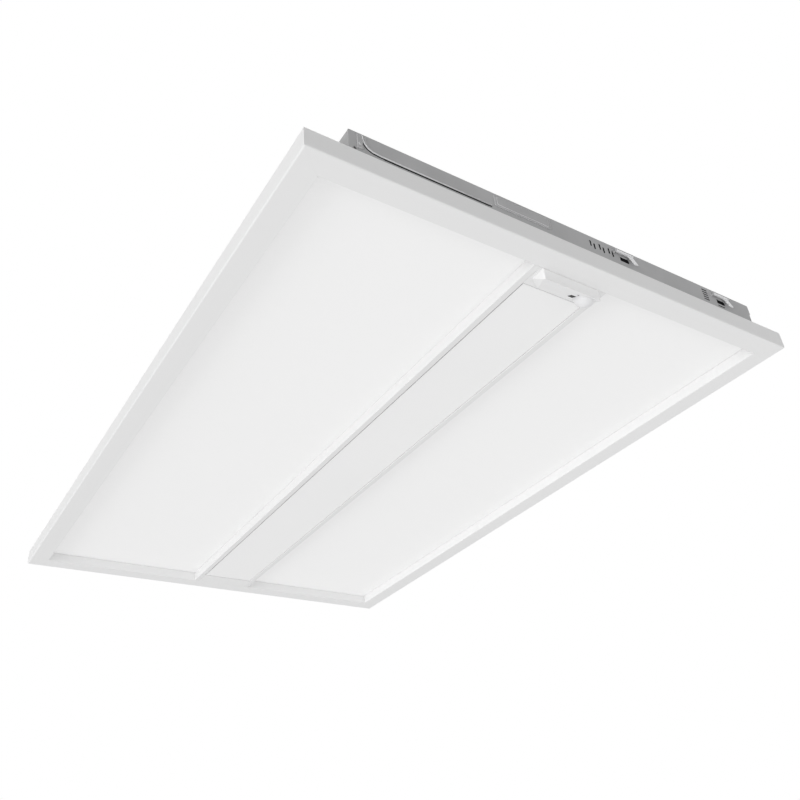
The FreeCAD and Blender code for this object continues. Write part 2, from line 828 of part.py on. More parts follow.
def main():
    save(sideRail(-1), "frame_side_left")
    save(sideRail(1), "frame_side_right")
    save(endRail(-1), "frame_end_near")
    save(endRail(1), "frame_end_far")
    save(group([cornerKey(x, y) for x in (-1, 1) for y in (-1, 1)]), "corner_keys")
    save(spineRailPart(-1), "spine_rail_left")
    save(spineRailPart(1), "spine_rail_right")
    save(spineEnd(-1), "spine_end_near")
    save(spineEnd(1), "spine_end_far")
    save(coverPins(), "cover_pins")
    save(centreCover(), "centre_cover")
    save(coverCatches(), "cover_catches")
    save(lensPanel(-1), "lens_left")
    save(lensPanel(1), "lens_right")
    save(lensClips(), "lens_clips")
    save(housingPan(), "housing_pan")
    save(knockouts(), "roof_knockouts")
    save(endPlate(-1), "end_plate_near")
    save(endPlate(1), "end_plate_far")
    save(wallLiner(-1), "wall_liner_near")
    save(wallLiner(1), "wall_liner_far")
    save(accessPlate(-1), "access_plate_near")
    save(accessPlate(1), "access_plate_far")
    save(cornerTabs(), "corner_tabs")
    save(clipPins(), "clip_pins")
    save(clipEars(), "clip_ears")
    for sign, end in ((-1, "near"), (1, "far")):
        for x, place in zip(clipCentres, ("inner", "outer")):
            save(gridClip(sign, x), "grid_clip_" + end + "_" + place)
    save(panScrews(), "pan_screws")
    save(gearTray(), "gear_tray")
    save(trayEnds(), "tray_ends")
    save(driverBox(), "driver_box")
    save(driverScrews(), "driver_screws")
    save(terminalBlock(), "terminal_block")
    for i, board in enumerate(ledBoards()):
        save(board, "led_board_" + str(i + 1))
    save(ledChips(), "led_chips")
    board, can = sensorBoard()
    podPieces = (
        (sensorPod(), "sensor_pod"), (sensorDome(), "sensor_dome"), (sensorWindow(), "sensor_window"),
        (indicatorDot(), "indicator_dot"), (board, "sensor_board"), (can, "sensor_detector"))
    for piece, name in podPieces:
        save(piece, name)


main()
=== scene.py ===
import bpy
import math
from mathutils import Matrix, Vector
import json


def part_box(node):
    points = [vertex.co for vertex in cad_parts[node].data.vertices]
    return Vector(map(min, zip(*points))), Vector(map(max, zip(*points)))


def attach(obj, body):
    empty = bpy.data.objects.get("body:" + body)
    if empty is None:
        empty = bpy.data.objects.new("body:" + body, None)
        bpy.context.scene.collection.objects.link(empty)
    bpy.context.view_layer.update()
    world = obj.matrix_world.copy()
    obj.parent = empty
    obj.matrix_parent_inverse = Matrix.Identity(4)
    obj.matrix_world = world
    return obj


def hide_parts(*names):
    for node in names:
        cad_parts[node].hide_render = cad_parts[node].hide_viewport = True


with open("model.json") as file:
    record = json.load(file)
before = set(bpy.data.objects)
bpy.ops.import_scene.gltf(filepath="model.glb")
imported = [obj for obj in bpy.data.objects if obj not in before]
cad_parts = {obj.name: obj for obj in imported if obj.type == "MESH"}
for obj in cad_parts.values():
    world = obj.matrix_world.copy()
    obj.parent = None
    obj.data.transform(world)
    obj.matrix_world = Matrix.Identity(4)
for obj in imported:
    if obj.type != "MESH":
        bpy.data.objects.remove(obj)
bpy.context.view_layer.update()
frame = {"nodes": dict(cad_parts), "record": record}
nodes = frame["nodes"]
print("stage: frame loaded,", len(nodes), "nodes")

# a Mix node has sockets of every kind under the same names, so its colour sockets go by number
mixFirst, mixSecond, mixResult = 6, 7, 2


def newGroup(name, inputs, outputs):
    # shader node group with named inputs and outputs; returns the group and its two end nodes
    group = bpy.data.node_groups.new(name, "ShaderNodeTree")
    for label, kind, value in inputs:
        socket = group.interface.new_socket(label, in_out="INPUT", socket_type=kind)
        socket.default_value = value
    for label, kind in outputs:
        group.interface.new_socket(label, in_out="OUTPUT", socket_type=kind)
    return group, group.nodes.new("NodeGroupInput"), group.nodes.new("NodeGroupOutput")


def objectNoise(tree, detail, scaleFrom, scaleFactor=1.0):
    # noise in object coordinates; its scale is a number or follows a group input
    place = tree.nodes.new("ShaderNodeTexCoord")
    noise = tree.nodes.new("ShaderNodeTexNoise")
    noise.inputs["Detail"].default_value = detail
    tree.links.new(place.outputs["Object"], noise.inputs["Vector"])
    if isinstance(scaleFrom, float):
        noise.inputs["Scale"].default_value = scaleFrom
    else:
        factor = tree.nodes.new("ShaderNodeMath")
        factor.operation = "MULTIPLY"
        factor.inputs[1].default_value = scaleFactor
        tree.links.new(scaleFrom, factor.inputs[0])
        tree.links.new(factor.outputs[0], noise.inputs["Scale"])
    return noise


def remap(tree, source, low, high, fromLow=0.0, fromHigh=1.0):
    node = tree.nodes.new("ShaderNodeMapRange")
    node.inputs["From Min"].default_value = fromLow
    node.inputs["From Max"].default_value = fromHigh
    node.inputs["To Min"].default_value = low
    node.inputs["To Max"].default_value = high
    tree.links.new(source, node.inputs["Value"])
    return node


# softened edges: the rounded normal, and a mask of where it leaves the flat one (cosine between the two)
edgeValues = {"radius": 0.0006, "samples": 4, "maskFrom": 0.995, "maskFull": 0.82}


def edgeGroup():
    group, start, end = newGroup(
        "softEdges", [("Radius", "NodeSocketFloat", edgeValues["radius"])],
        [("Mask", "NodeSocketFloat"), ("Normal", "NodeSocketVector")])
    bevel = group.nodes.new("ShaderNodeBevel")
    bevel.samples = edgeValues["samples"]
    group.links.new(start.outputs["Radius"], bevel.inputs["Radius"])
    flat = group.nodes.new("ShaderNodeNewGeometry")
    dot = group.nodes.new("ShaderNodeVectorMath")
    dot.operation = "DOT_PRODUCT"
    group.links.new(bevel.outputs["Normal"], dot.inputs[0])
    group.links.new(flat.outputs["Normal"], dot.inputs[1])
    mask = remap(group, dot.outputs["Value"], 0.0, 1.0, edgeValues["maskFrom"], edgeValues["maskFull"])
    group.links.new(mask.outputs["Result"], end.inputs["Mask"])
    group.links.new(bevel.outputs["Normal"], end.inputs["Normal"])
    return group


# colour that drifts a little over the surface
mottleValues = {
    "colour": (0.8, 0.8, 0.8, 1.0), "amount": 0.03, "scale": 6.0, "detail": 4.0,
    "noiseLow": 0.3, "noiseHigh": 0.7}


def mottleGroup():
    group, start, end = newGroup(
        "mottle",
        [("Colour", "NodeSocketColor", mottleValues["colour"]),
         ("Amount", "NodeSocketFloat", mottleValues["amount"]),
         ("Scale", "NodeSocketFloat", mottleValues["scale"])],
        [("Colour", "NodeSocketColor")])
    broad = objectNoise(group, mottleValues["detail"], start.outputs["Scale"])
    less = group.nodes.new("ShaderNodeMath")
    less.operation = "SUBTRACT"
    less.inputs[0].default_value = 1.0
    group.links.new(start.outputs["Amount"], less.inputs[1])
    # the low end of the level comes from the amount
    level = remap(group, broad.outputs["Fac"], 0.0, 1.0, mottleValues["noiseLow"], mottleValues["noiseHigh"])
    group.links.new(less.outputs[0], level.inputs["To Min"])
    scaled = group.nodes.new("ShaderNodeVectorMath")
    scaled.operation = "SCALE"
    group.links.new(start.outputs["Colour"], scaled.inputs[0])
    group.links.new(level.outputs["Result"], scaled.inputs["Scale"])
    group.links.new(scaled.outputs["Vector"], end.inputs["Colour"])
    return group


# fine coat texture: height for a bump, and a roughness that drifts in larger patches
grainValues = {
    "roughness": 0.4, "spread": 0.08, "scale": 1100.0, "fineDetail": 2.0, "broadDetail": 3.0,
    "broadShare": 0.02, "noiseMiddle": 0.5}


def grainGroup():
    group, start, end = newGroup(
        "coatGrain",
        [("Roughness", "NodeSocketFloat", grainValues["roughness"]),
         ("Spread", "NodeSocketFloat", grainValues["spread"]),
         ("Scale", "NodeSocketFloat", grainValues["scale"])],
        [("Height", "NodeSocketFloat"), ("Roughness", "NodeSocketFloat")])
    fine = objectNoise(group, grainValues["fineDetail"], start.outputs["Scale"])
    broad = objectNoise(group, grainValues["broadDetail"], start.outputs["Scale"], grainValues["broadShare"])
    centred = group.nodes.new("ShaderNodeMath")
    centred.operation = "SUBTRACT"
    centred.inputs[1].default_value = grainValues["noiseMiddle"]
    group.links.new(broad.outputs["Fac"], centred.inputs[0])
    spread = group.nodes.new("ShaderNodeMath")
    spread.operation = "MULTIPLY_ADD"
    group.links.new(centred.outputs[0], spread.inputs[0])
    group.links.new(start.outputs["Spread"], spread.inputs[1])
    group.links.new(start.outputs["Roughness"], spread.inputs[2])
    group.links.new(fine.outputs["Fac"], end.inputs["Height"])
    group.links.new(spread.outputs[0], end.inputs["Roughness"])
    return group


# thin dust that lies on faces turned upward
dustValues = {
    "under": (0.5, 0.5, 0.5, 1.0), "colour": (0.42, 0.41, 0.39, 1.0), "amount": 0.3, "scale": 14.0,
    "detail": 5.0, "upFrom": 0.4, "upFull": 0.95, "least": 0.25, "noiseLow": 0.35, "noiseHigh": 0.65}


def dustGroup():
    group, start, end = newGroup(
        "settledDust",
        [("Colour", "NodeSocketColor", dustValues["under"]),
         ("Dust Colour", "NodeSocketColor", dustValues["colour"]),
         ("Amount", "NodeSocketFloat", dustValues["amount"])],
        [("Colour", "NodeSocketColor")])
    shape = group.nodes.new("ShaderNodeNewGeometry")
    split = group.nodes.new("ShaderNodeSeparateXYZ")
    group.links.new(shape.outputs["Normal"], split.inputs[0])
    up = remap(group, split.outputs["Z"], 0.0, 1.0, dustValues["upFrom"], dustValues["upFull"])
    noise = objectNoise(group, dustValues["detail"], dustValues["scale"])
    patch = remap(
        group, noise.outputs["Fac"], dustValues["least"], 1.0,
        dustValues["noiseLow"], dustValues["noiseHigh"])
    both = group.nodes.new("ShaderNodeMath")
    both.operation = "MULTIPLY"
    group.links.new(up.outputs["Result"], both.inputs[0])
    group.links.new(patch.outputs["Result"], both.inputs[1])
    amount = group.nodes.new("ShaderNodeMath")
    amount.operation = "MULTIPLY"
    group.links.new(both.outputs[0], amount.inputs[0])
    group.links.new(start.outputs["Amount"], amount.inputs[1])
    mix = group.nodes.new("ShaderNodeMix")
    mix.data_type = "RGBA"
    group.links.new(amount.outputs[0], mix.inputs["Factor"])
    group.links.new(start.outputs["Colour"], mix.inputs[mixFirst])
    group.links.new(start.outputs["Dust Colour"], mix.inputs[mixSecond])
    group.links.new(mix.outputs[mixResult], end.inputs["Colour"])
    return group


softEdges = edgeGroup()
mottle = mottleGroup()
coatGrain = grainGroup()
settledDust = dustGroup()
print("stage: node groups built")


def useGroup(tree, group, **values):
    node = tree.nodes.new("ShaderNodeGroup")
    node.node_tree = group
    for label, value in values.items():
        node.inputs[label.replace("_", " ")].default_value = value
    return node


def mottledColour(tree, values):
    tone = useGroup(
        tree, mottle, Colour=values["colour"], Amount=values["mottle"], Scale=values["mottleScale"])
    return tone.outputs["Colour"]


def grainOf(tree, values):
    return useGroup(
        tree, coatGrain, Roughness=values["roughness"], Spread=values["spread"], Scale=values["grain"])


def newMaterial(name):
    material = bpy.data.materials.new(name)
    material.use_nodes = True
    return material, material.node_tree, material.node_tree.nodes["Principled BSDF"]


def addBump(tree, shader, height, strength, distance, normal=None):
    bump = tree.nodes.new("ShaderNodeBump")
    bump.inputs["Strength"].default_value = strength
    bump.inputs["Distance"].default_value = distance
    tree.links.new(height, bump.inputs["Height"])
    if normal is not None:
        tree.links.new(normal, bump.inputs["Normal"])
    tree.links.new(bump.outputs["Normal"], shader.inputs["Normal"])


def lighter(tree, colour, mask, edgeColour):
    mix = tree.nodes.new("ShaderNodeMix")
    mix.data_type = "RGBA"
    mix.inputs[mixSecond].default_value = edgeColour
    tree.links.new(mask, mix.inputs["Factor"])
    tree.links.new(colour, mix.inputs[mixFirst])
    return mix.outputs[mixResult]


plainSpecular = 0.5  # of every finish that names no other


def coatedMetal(name, values):
    # paint, zinc or moulded skin: mottled colour, grain, brighter edges (rubbed paint, and on the wall plates
    # also a painted highlight) and settled dust
    material, tree, shader = newMaterial(name)
    edges = useGroup(tree, softEdges, Radius=values["edge"])
    grain = grainOf(tree, values)
    dust = useGroup(tree, settledDust, Amount=values["dust"])
    # edges lightened by the mask: rubbed paint, and on the wall plates also a painted highlight
    wearAndHighlight = remap(tree, edges.outputs["Mask"], 0.0, values["wearAndHighlight"])
    wornAndHighlit = lighter(tree, mottledColour(tree, values), wearAndHighlight.outputs["Result"], values["edgeColour"])
    tree.links.new(wornAndHighlit, dust.inputs["Colour"])
    tree.links.new(dust.outputs["Colour"], shader.inputs["Base Color"])
    tree.links.new(grain.outputs["Roughness"], shader.inputs["Roughness"])
    shader.inputs["Metallic"].default_value = values["metallic"]
    shader.inputs["Specular IOR Level"].default_value = values.get("specular", plainSpecular)
    addBump(
        tree, shader, grain.outputs["Height"], values["bump"], values["bumpDepth"], edges.outputs["Normal"])
    return material


frameWhiteValues = {
    "colour": (0.885, 0.885, 0.885, 1.0), "mottle": 0.015, "mottleScale": 5.0, "roughness": 0.42,
    "spread": 0.06, "grain": 1300.0, "dust": 0.25, "wearAndHighlight": 0.1, "edge": 0.00025,
    "edgeColour": (0.9, 0.9, 0.9, 1.0), "metallic": 0.0, "bump": 0.12, "bumpDepth": 0.0001}
coverWhiteValues = dict(frameWhiteValues, colour=(0.97, 0.97, 0.97, 1.0))
# painted shade: the spine rails are a shade darker than the frame, standing in for the shade along the spine
railPaintedShadeValues = dict(frameWhiteValues, colour=(0.855, 0.855, 0.855, 1.0))
# near black of the liners behind the wall openings and of the pads and strip laid into them: painted shade, a
# dark sheet where the openings show only shade
linerPaintedShadeValues = {
    "colour": (0.006, 0.006, 0.007, 1.0), "mottle": 0.2, "mottleScale": 50.0, "roughness": 0.8, "spread": 0.1,
    "grain": 900.0, "dust": 0.0, "wearAndHighlight": 0.1, "edge": 0.0003, "edgeColour": (0.02, 0.02, 0.02, 1.0),
    "metallic": 0.0, "bump": 0.1, "bumpDepth": 0.0001, "specular": 0.08}
housingGreyValues = {
    "colour": (0.48, 0.48, 0.485, 1.0), "mottle": 0.10, "mottleScale": 24.0, "roughness": 0.5, "spread": 0.2,
    "grain": 700.0, "dust": 0.35, "wearAndHighlight": 0.6, "edge": 0.0006, "edgeColour": (0.74, 0.74, 0.75, 1.0),
    "metallic": 0.0, "bump": 0.1, "bumpDepth": 0.0001}
# paler, wider edges of the wall plates: partly bare cut edges, partly a painted highlight along them
plateGreyPaintedEdgeValues = dict(housingGreyValues, wearAndHighlight=1.0, edge=0.0012, edgeColour=(0.88, 0.88, 0.89, 1.0))
whitePlasticValues = {
    "colour": (0.91, 0.91, 0.91, 1.0), "mottle": 0.01, "mottleScale": 30.0, "roughness": 0.45, "spread": 0.05,
    "grain": 1800.0, "dust": 0.1, "wearAndHighlight": 0.1, "edge": 0.0005, "edgeColour": (0.88, 0.88, 0.88, 1.0),
    "metallic": 0.0, "bump": 0.1, "bumpDepth": 0.00008}
driverWhiteValues = {
    "colour": (0.7, 0.7, 0.7, 1.0), "mottle": 0.04, "mottleScale": 12.0, "roughness": 0.45, "spread": 0.1,
    "grain": 900.0, "dust": 0.3, "wearAndHighlight": 0.2, "edge": 0.0006, "edgeColour": (0.78, 0.78, 0.78, 1.0),
    "metallic": 0.0, "bump": 0.15, "bumpDepth": 0.0001}
terminalValues = {
    "colour": (0.72, 0.71, 0.66, 1.0), "mottle": 0.03, "mottleScale": 60.0, "roughness": 0.5, "spread": 0.1,
    "grain": 1500.0, "dust": 0.2, "wearAndHighlight": 0.1, "edge": 0.0004, "edgeColour": (0.8, 0.79, 0.75, 1.0),
    "metallic": 0.0, "bump": 0.1, "bumpDepth": 0.0001}
boardWhiteValues = {
    "colour": (0.83, 0.83, 0.8, 1.0), "mottle": 0.03, "mottleScale": 40.0, "roughness": 0.35, "spread": 0.1,
    "grain": 1500.0, "dust": 0.0, "wearAndHighlight": 0.2, "edge": 0.0004, "edgeColour": (0.6, 0.6, 0.5, 1.0),
    "metallic": 0.0, "bump": 0.1, "bumpDepth": 0.00005}
boardGreenValues = {
    "colour": (0.05, 0.22, 0.1, 1.0), "mottle": 0.1, "mottleScale": 80.0, "roughness": 0.3, "spread": 0.1,
    "grain": 1500.0, "dust": 0.0, "wearAndHighlight": 0.3, "edge": 0.0004, "edgeColour": (0.3, 0.35, 0.15, 1.0),
    "metallic": 0.0, "bump": 0.1, "bumpDepth": 0.00005}
phosphorValues = {
    "colour": (0.85, 0.7, 0.22, 1.0), "mottle": 0.06, "mottleScale": 300.0, "roughness": 0.35, "spread": 0.1,
    "grain": 2500.0, "dust": 0.0, "wearAndHighlight": 0.6, "edge": 0.0004, "edgeColour": (0.85, 0.85, 0.82, 1.0),
    "metallic": 0.0, "bump": 0.1, "bumpDepth": 0.00005}
brightSteelValues = {
    "colour": (0.6, 0.6, 0.62, 1.0), "mottle": 0.12, "mottleScale": 90.0, "roughness": 0.32, "spread": 0.15,
    "grain": 1200.0, "dust": 0.1, "wearAndHighlight": 0.5, "edge": 0.0003, "edgeColour": (0.75, 0.75, 0.76, 1.0),
    "metallic": 1.0, "bump": 0.1, "bumpDepth": 0.00005}
clipSteelValues = {
    "colour": (0.86, 0.86, 0.87, 1.0), "mottle": 0.06, "mottleScale": 120.0, "roughness": 0.4, "spread": 0.12,
    "grain": 1200.0, "dust": 0.1, "wearAndHighlight": 0.4, "edge": 0.0003, "edgeColour": (0.9, 0.9, 0.9, 1.0),
    "metallic": 0.35, "bump": 0.1, "bumpDepth": 0.00005}

# frosted acrylic: faint even emission that is painted light, lifting the lens's grey; slight mottle and micro
# texture
lensValues = {
    "colour": (0.88, 0.88, 0.88, 1.0), "roughness": 0.55, "mottle": 0.008, "mottleScale": 3.0,
    "paintedGlow": (1.0, 1.0, 1.0, 1.0), "paintedGlowStrength": 0.11, "cell": 900.0, "bump": 0.08, "bumpDepth": 0.0001}


def frostedLens(name, values):
    material, tree, shader = newMaterial(name)
    tree.links.new(mottledColour(tree, values), shader.inputs["Base Color"])
    shader.inputs["Roughness"].default_value = values["roughness"]
    # painted light: the lens gives off a faint even light of its own, so it reads brighter
    shader.inputs["Emission Color"].default_value = values["paintedGlow"]
    shader.inputs["Emission Strength"].default_value = values["paintedGlowStrength"]
    place = tree.nodes.new("ShaderNodeTexCoord")
    cells = tree.nodes.new("ShaderNodeTexVoronoi")
    cells.inputs["Scale"].default_value = values["cell"]
    tree.links.new(place.outputs["Object"], cells.inputs["Vector"])
    addBump(tree, shader, cells.outputs["Distance"], values["bump"], values["bumpDepth"])
    return material


# milky dome of the motion sensor with its moulded facets
domeValues = {
    "colour": (0.84, 0.84, 0.85, 1.0), "roughness": 0.28, "mottle": 0.02, "mottleScale": 60.0,
    "facets": 260.0, "uneven": 0.15, "bump": 0.35, "bumpDepth": 0.0006}


def milkyDome(name, values):
    material, tree, shader = newMaterial(name)
    tree.links.new(mottledColour(tree, values), shader.inputs["Base Color"])
    shader.inputs["Roughness"].default_value = values["roughness"]
    place = tree.nodes.new("ShaderNodeTexCoord")
    cells = tree.nodes.new("ShaderNodeTexVoronoi")
    cells.feature = "SMOOTH_F1"
    cells.inputs["Scale"].default_value = values["facets"]
    cells.inputs["Randomness"].default_value = values["uneven"]
    tree.links.new(place.outputs["Object"], cells.inputs["Vector"])
    addBump(tree, shader, cells.outputs["Distance"], values["bump"], values["bumpDepth"])
    return material


# dark smooth plastic of the sensor's window and of the indicator
windowValues = {
    "colour": (0.004, 0.004, 0.005, 1.0), "mottle": 0.2, "mottleScale": 200.0, "roughness": 0.35,
    "spread": 0.05, "grain": 600.0, "specular": 0.15}
pipValues = dict(windowValues, colour=(0.1, 0.1, 0.11, 1.0), roughness=0.3, specular=0.3)


def darkPlastic(name, values):
    material, tree, shader = newMaterial(name)
    grain = grainOf(tree, values)
    tree.links.new(mottledColour(tree, values), shader.inputs["Base Color"])
    tree.links.new(grain.outputs["Roughness"], shader.inputs["Roughness"])
    shader.inputs["Specular IOR Level"].default_value = values["specular"]
    return material


materials = {
    "frame_white": coatedMetal("frameWhite", frameWhiteValues),
    "cover_white": coatedMetal("coverWhite", coverWhiteValues),
    "liner_black": coatedMetal("linerPaintedShade", linerPaintedShadeValues),
    "housing_grey": coatedMetal("housingGrey", housingGreyValues),
    "white_plastic": coatedMetal("whitePlastic", whitePlasticValues),
    "driver_white": coatedMetal("driverWhite", driverWhiteValues),
    "terminal_plastic": coatedMetal("terminalPlastic", terminalValues),
    "board_white": coatedMetal("boardWhite", boardWhiteValues),
    "board_green": coatedMetal("boardGreen", boardGreenValues),
    "led_phosphor": coatedMetal("ledPhosphor", phosphorValues),
    "bright_steel": coatedMetal("brightSteel", brightSteelValues),
    "clip_steel": coatedMetal("clipSteel", clipSteelValues),
    "frosted_lens": frostedLens("frostedLens", lensValues),
    "dome_plastic": milkyDome("milkyDome", domeValues),
    "window_black": darkPlastic("windowBlack", windowValues),
    "indicator_grey": darkPlastic("indicatorPip", pipValues),
}
print("stage: materials built")

slotOf = {entry["node"]: entry["material_slot"] for entry in frame["record"]["subparts"]}
for nodeName, thing in nodes.items():
    thing.data.materials.clear()
    thing.data.materials.append(materials[slotOf[nodeName]])


def coatNodes(name, values, nodeNames):
    coat = coatedMetal(name, values)
    for nodeName in nodeNames:
        nodes[nodeName].data.materials[0] = coat


# the spine rails are painted a little darker than the frame, which is painted shade, and the small wall
# plates have paler edges, partly bare cut edges and partly a painted highlight
coatNodes("railPaintedShade", railPaintedShadeValues, ("spine_rail_left", "spine_rail_right"))
coatNodes("plateGreyPaintedEdge", plateGreyPaintedEdgeValues, ("access_plate_near", "access_plate_far", "corner_tabs"))
print("stage: frame nodes finished")


def meshObject(name, verts, faces, slotName, body, smooth=True):
    mesh = bpy.data.meshes.new(name)
    mesh.from_pydata([tuple(v) for v in verts], [], faces)
    mesh.validate()
    mesh.update()
    for face in mesh.polygons:
        face.use_smooth = smooth
    thing = bpy.data.objects.new(name, mesh)
    bpy.context.scene.collection.objects.link(thing)
    mesh.materials.append(materials[slotName])
    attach(thing, body)
    return thing


def joinMeshes(parts):
    verts = []
    faces = []
    for v, f in parts:
        base = len(verts)
        verts += v
        faces += [tuple(base + i for i in face) for face in f]
    return verts, faces


def ringFaces(count, steps):
    # outward faces of a closed skin over rings of points, from its foot to its top
    faces = []
    for k in range(count - 1):
        for i in range(steps):
            j = (i + 1) % steps
            faces.append((k * steps + i, k * steps + j, (k + 1) * steps + j, (k + 1) * steps + i))
    top = (count - 1) * steps
    faces.append(tuple(range(top, top + steps)))
    faces.append(tuple(reversed(range(steps))))
    return faces


# pan-head screws with a cross recess; shoulder, rim and taper are shares of the height and of the recess
screwValues = {
    "radius": 0.0034, "height": 0.0016, "shoulder": 0.35, "rim": 0.98, "recess": 0.0019, "arm": 0.0005,
    "deep": 0.0009, "taper": 0.8, "rings": 5, "steps": 32}
tiny = 1e-6  # keeps a division away from zero
weldDigits = 6  # corners that agree to this many digits count as one


def crossRadius(angle, reach, arm):
    # distance from the centre to the edge of a plus-shaped recess in this direction
    turn = (angle + math.pi / 4) % (math.pi / 2) - math.pi / 4
    along = reach / max(math.cos(turn), tiny)
    side = arm / max(abs(math.sin(turn)), tiny)
    return min(along, max(side, arm * math.sqrt(2)))


def screwHead(centre, up, values):
    verts = []
    steps = values["steps"]
    rings = []
    for k in range(values["rings"] + 1):
        turn = math.pi / 2 * k / values["rings"]
        spread = values["recess"] + (values["radius"] - values["recess"]) * math.cos(turn)
        rise = values["shoulder"] + (1.0 - values["shoulder"]) * math.sin(turn)
        rings.append(([spread] * steps, values["height"] * rise))
    rings.insert(0, ([values["radius"]] * steps, 0.0))
    edge = [crossRadius(2 * math.pi * i / steps, values["recess"], values["arm"]) for i in range(steps)]
    rings.append((edge, values["height"] * values["rim"]))
    rings.append(([r * values["taper"] for r in edge], values["height"] - values["deep"]))
    across = Vector((0.0, 1.0, 0.0)).cross(up).normalized()
    along = up.cross(across).normalized()
    for radii, height in rings:
        for i, r in enumerate(radii):
            a = 2 * math.pi * i / steps
            verts.append(centre + across * (r * math.cos(a)) + along * (r * math.sin(a)) + up * height)
    return verts, ringFaces(len(rings), steps)


def islands(thing):
    # low and high corners of each loose part of a mesh
    mesh = thing.data
    parent = list(range(len(mesh.vertices)))

    def root(i):
        while parent[i] != i:
            parent[i] = parent[parent[i]]
            i = parent[i]
        return i

    seen = {}
    for v in mesh.vertices:
        key = tuple(round(c, weldDigits) for c in v.co)
        if key in seen:
            parent[root(v.index)] = root(seen[key])
        else:
            seen[key] = v.index
    for edge in mesh.edges:
        parent[root(edge.vertices[0])] = root(edge.vertices[1])
    groups = {}
    for v in mesh.vertices:
        groups.setdefault(root(v.index), []).append(v.co.copy())
    out = []
    for points in groups.values():
        low = Vector([min(p[k] for p in points) for k in range(3)])
        high = Vector([max(p[k] for p in points) for k in range(3)])
        out.append((low, high))
    return sorted(out, key=lambda b: tuple(b[0]))


def screwHeads(name, nodeName, up):
    # a head on each screw of the node; it stands on the screw's lower or upper face and points up or down
    heads = []
    for low, high in islands(nodes[nodeName]):
        middle = (low + high) / 2
        foot = low.z if up > 0 else high.z
        heads.append(screwHead(Vector((middle.x, middle.y, foot)), Vector((0.0, 0.0, up)), screwValues))
    verts, faces = joinMeshes(heads)
    return meshObject(name, verts, faces, "bright_steel", "fixture", smooth=False)


panHeads = screwHeads("pan_screw_heads", "pan_screws", 1.0)
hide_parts("pan_screws")
driverHeads = screwHeads("driver_screw_heads", "driver_screws", -1.0)
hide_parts("driver_screws")
print("stage: screws built")

# end walls: black pads that fill the openings as painted shade, a rounded bead in bright steel that is partly
# a painted highlight, and a dark strip under it that is a painted shadow (metres, near wall)
wallValues = {
    "wallY": -0.452, "linerY": -0.451, "flush": 0.00015, "left": -0.259, "plateLeft": -0.106,
    "clips": (0.0595, 0.207), "beadRadius": 0.0007, "beadSides": 10, "beadEndGap": 0.004,
    "shadowHalf": 0.0006, "shadowDrop": 0.0017, "shadowDepth": 0.0002,
    "curve": ((0.0135, 0.0438), (0.0142, 0.0392), (0.0158, 0.0347), (0.0188, 0.0311), (0.0232, 0.029),
              (0.031, 0.0282), (0.06, 0.028))}

# openings of an end wall (metres): the slit starts in from the wall's left end and stops before the access
# plate, and all others are measured across from a clip's centre
openingValues = {
    "slit": (0.034, 0.007), "slitUp": (0.0254, 0.027),
    "pairs": 3, "firstPair": -0.042, "pairPitch": 0.0125, "slotApart": 0.0024, "slotHalf": 0.0011,
    "slotUp": (0.0316, 0.039), "slotStagger": 0.5,
    "louvres": 5, "louvreAcross": (-0.027, -0.0185), "louvreFoot": 0.0276, "louvrePitch": 0.0032,
    "louvreHigh": 0.0017, "window": (-0.005, 0.0075), "windowUp": (0.0296, 0.035),
    "slotBelow": (-0.005, 0.006), "slotBelowUp": (0.026, 0.0276)}


def wallOpenings():
    # low and high corners (across, up) of each opening in an end wall
    values = openingValues
    inner, outer = wallValues["clips"]

    def besides(x, across, up):
        return (x + across[0], up[0], x + across[1], up[1])

    start = wallValues["left"] + values["slit"][0]
    stop = wallValues["plateLeft"] - values["slit"][1]
    spots = [(start, values["slitUp"][0], stop, values["slitUp"][1])]
    half = values["slotHalf"]
    low, high = values["slotUp"]
    for k in range(values["pairs"]):
        x = inner + values["firstPair"] + values["pairPitch"] * k
        for dx in (-values["slotApart"], values["slotApart"]):
            drop = dx * values["slotStagger"]
            spots.append(besides(x + dx, (-half, half), (low - drop, high - drop)))
    for k in range(values["louvres"]):
        z = values["louvreFoot"] + values["louvrePitch"] * k
        spots.append(besides(outer, values["louvreAcross"], (z, z + values["louvreHigh"])))
    for x in (inner, outer):
        spots.append(besides(x, values["window"], values["windowUp"]))
    spots.append(besides(outer, values["slotBelow"], values["slotBelowUp"]))
    return spots


def boxMesh(low, high):
    corners = [(x, y, z) for x in (low[0], high[0]) for y in (low[1], high[1]) for z in (low[2], high[2])]
    sides = [(0, 1, 3, 2), (4, 6, 7, 5), (0, 4, 5, 1), (2, 3, 7, 6), (0, 2, 6, 4), (1, 5, 7, 3)]
    return corners, sides


def toEnd(verts, end):
    # the far wall is the near one turned half way round
    if end == "near":
        return verts
    return [(-x, -y, z) for x, y, z in verts]


# black pads nearly flush in every opening: painted shade, dark fill where the openings show only shade
def openingShadePads(end):
    front = wallValues["wallY"] + wallValues["flush"]
    parts = [boxMesh((x0, front, z0), (x1, wallValues["linerY"], z1)) for x0, z0, x1, z1 in wallOpenings()]
    verts, faces = joinMeshes(parts)
    name = "wall_opening_shade_pads_" + end
    return meshObject(name, toEnd(verts, end), faces, "liner_black", "fixture", smooth=False)


def beadPath():
    left = wallValues["left"]
    path = [(left + x, z) for x, z in wallValues["curve"]]
    path.append((wallValues["plateLeft"] - wallValues["beadEndGap"], wallValues["curve"][-1][1]))
    return path


def pathSides(path):
    # unit directions square to a flat path at each of its points
    out = []
    for k in range(len(path)):
        a = path[max(k - 1, 0)]
        b = path[min(k + 1, len(path) - 1)]
        along = Vector((b[0] - a[0], b[1] - a[1])).normalized()
        out.append(Vector((-along.y, along.x)))
    return out


